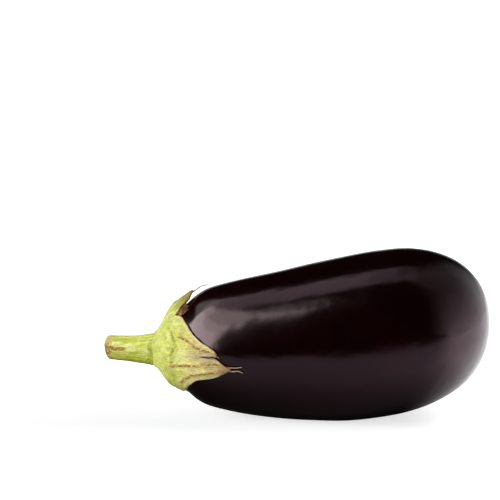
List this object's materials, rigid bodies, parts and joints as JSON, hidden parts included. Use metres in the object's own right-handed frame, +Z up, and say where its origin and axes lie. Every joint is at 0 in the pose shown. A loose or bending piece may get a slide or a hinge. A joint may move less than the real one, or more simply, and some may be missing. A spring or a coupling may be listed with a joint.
{
  "type": "eggplant",
  "caption": "Ripe eggplant lying on its side: a glossy dark fruit, thickest towards the blossom end, with a green cap of sepals on its neck and a short cut stem.",
  "frame": {"origin": "on the surface the eggplant lies on, under the middle of its bounding box", "axes": "+X from the cut stem to the blossom end, +Z up; +Y is to the left when looking from the stem to the blossom end"},
  "size_m": [0.2057, 0.0888, 0.0916],
  "materials": {
    "fruit_skin": "gloss",
    "calyx_green": "matte",
    "stem_green": "matte"
  },
  "bodies": {
    "root": {"fruit": "fruit_skin", "calyx": "calyx_green", "stem": "stem_green"}
  },
  "joints": []
}
